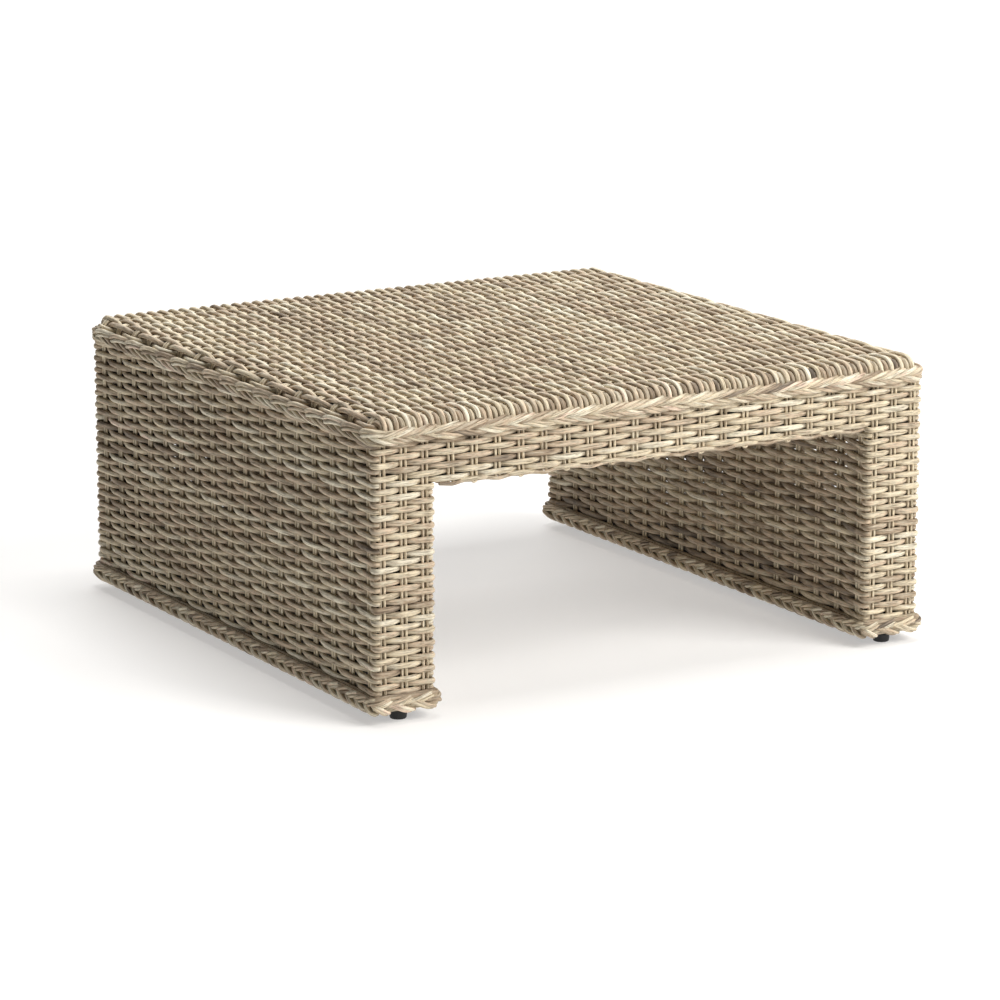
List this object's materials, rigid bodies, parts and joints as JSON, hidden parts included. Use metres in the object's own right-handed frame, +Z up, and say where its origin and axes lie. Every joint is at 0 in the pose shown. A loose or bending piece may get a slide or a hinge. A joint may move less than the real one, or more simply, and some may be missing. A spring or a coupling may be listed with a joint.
{
  "type": "wicker coffee table",
  "caption": "Low square woven wicker coffee table: two slab legs, a rolled-edge woven top with a plaited border, shallow aprons, a hidden tube frame and screw-in levelling glides.",
  "frame": {"origin": "on the floor under the middle of the table", "axes": "+Z up, +X to the right and +Y to the rear as seen from an apron side; the slab legs stand at -X and +X and run along Y"},
  "size_m": [0.934, 0.934, 0.432],
  "materials": {
    "wicker_weave": "round woven strand in mixed cream, tan and grey-brown, streaked along its length, matt",
    "wicker_braid": "plaited paired strands in mixed cream, tan and grey-brown, matt",
    "wicker_stake": "straight round stakes, cream to tan, matt",
    "frame_tube": "dark brown powder coat on aluminium tube",
    "insert": "zinc-plated steel",
    "glide_stud": "zinc-plated steel",
    "glide_pad": "black moulded glide, satin"
  },
  "bodies": {
    "table": {"apron_rail_front": "frame_tube", "apron_rail_rear": "frame_tube", "apron_upper_rail_front": "frame_tube", "apron_upper_rail_rear": "frame_tube", "front_apron_stakes": "wicker_stake", "front_apron_weave": "wicker_weave", "insert_front_left": "insert", "insert_front_right": "insert", "insert_rear_left": "insert", "insert_rear_right": "insert", "left_bottom_braid": "wicker_braid", "left_leg_front_bar": "frame_tube", "left_leg_front_inner_post": "frame_tube", "left_leg_front_outer_post": "frame_tube", "left_leg_inner_rail": "frame_tube", "left_leg_outer_rail": "frame_tube", "left_leg_rear_bar": "frame_tube", "left_leg_rear_inner_post": "frame_tube", "left_leg_rear_outer_post": "frame_tube", "left_leg_stakes": "wicker_stake", "left_leg_weave": "wicker_weave", "leg_bearer_left": "frame_tube", "leg_bearer_right": "frame_tube", "rear_apron_stakes": "wicker_stake", "rear_apron_weave": "wicker_weave", "right_bottom_braid": "wicker_braid", "right_leg_front_bar": "frame_tube", "right_leg_front_inner_post": "frame_tube", "right_leg_front_outer_post": "frame_tube", "right_leg_inner_rail": "frame_tube", "right_leg_outer_rail": "frame_tube", "right_leg_rear_bar": "frame_tube", "right_leg_rear_inner_post": "frame_tube", "right_leg_rear_outer_post": "frame_tube", "right_leg_stakes": "wicker_stake", "right_leg_weave": "wicker_weave", "top_bearer_center": "frame_tube", "top_bearer_left": "frame_tube", "top_bearer_right": "frame_tube", "top_border_braid": "wicker_braid", "top_rail_front": "frame_tube", "top_rail_left": "frame_tube", "top_rail_rear": "frame_tube", "top_rail_right": "frame_tube", "top_stakes": "wicker_stake", "top_weave": "wicker_weave"},
    "foot_pad_front_left": {"foot_pad_front_left": "glide_pad"},
    "foot_stud_front_left": {"foot_stud_front_left": "glide_stud"},
    "foot_pad_front_right": {"foot_pad_front_right": "glide_pad"},
    "foot_stud_front_right": {"foot_stud_front_right": "glide_stud"},
    "foot_pad_rear_left": {"foot_pad_rear_left": "glide_pad"},
    "foot_stud_rear_left": {"foot_stud_rear_left": "glide_stud"},
    "foot_pad_rear_right": {"foot_pad_rear_right": "glide_pad"},
    "foot_stud_rear_right": {"foot_stud_rear_right": "glide_stud"}
  },
  "joints": [
    {"name": "foot_front_left_travel", "type": "slide", "parent": "table", "child": "foot_pad_front_left", "axis": [0, 0, -1], "range_m": [0, 0.008]},
    {"name": "foot_front_left_screw", "type": "hinge", "parent": "foot_pad_front_left", "child": "foot_stud_front_left", "pos_m": [-0.4093, -0.432, 0.02], "axis": [0, 0, -1], "range_deg": [0, 2305]},
    {"name": "foot_front_right_travel", "type": "slide", "parent": "table", "child": "foot_pad_front_right", "axis": [0, 0, -1], "range_m": [0, 0.008]},
    {"name": "foot_front_right_screw", "type": "hinge", "parent": "foot_pad_front_right", "child": "foot_stud_front_right", "pos_m": [0.4093, -0.432, 0.02], "axis": [0, 0, -1], "range_deg": [0, 2305]},
    {"name": "foot_rear_left_travel", "type": "slide", "parent": "table", "child": "foot_pad_rear_left", "axis": [0, 0, -1], "range_m": [0, 0.008]},
    {"name": "foot_rear_left_screw", "type": "hinge", "parent": "foot_pad_rear_left", "child": "foot_stud_rear_left", "pos_m": [-0.4093, 0.432, 0.02], "axis": [0, 0, -1], "range_deg": [0, 2305]},
    {"name": "foot_rear_right_travel", "type": "slide", "parent": "table", "child": "foot_pad_rear_right", "axis": [0, 0, -1], "range_m": [0, 0.008]},
    {"name": "foot_rear_right_screw", "type": "hinge", "parent": "foot_pad_rear_right", "child": "foot_stud_rear_right", "pos_m": [0.4093, 0.432, 0.02], "axis": [0, 0, -1], "range_deg": [0, 2305]}
  ],
  "couplings": [
    {"joint": "foot_front_left_screw", "follows": "foot_front_left_travel", "rad_per_m": 5026.5},
    {"joint": "foot_front_right_screw", "follows": "foot_front_right_travel", "rad_per_m": 5026.5},
    {"joint": "foot_rear_left_screw", "follows": "foot_rear_left_travel", "rad_per_m": 5026.5},
    {"joint": "foot_rear_right_screw", "follows": "foot_rear_right_travel", "rad_per_m": 5026.5}
  ]
}
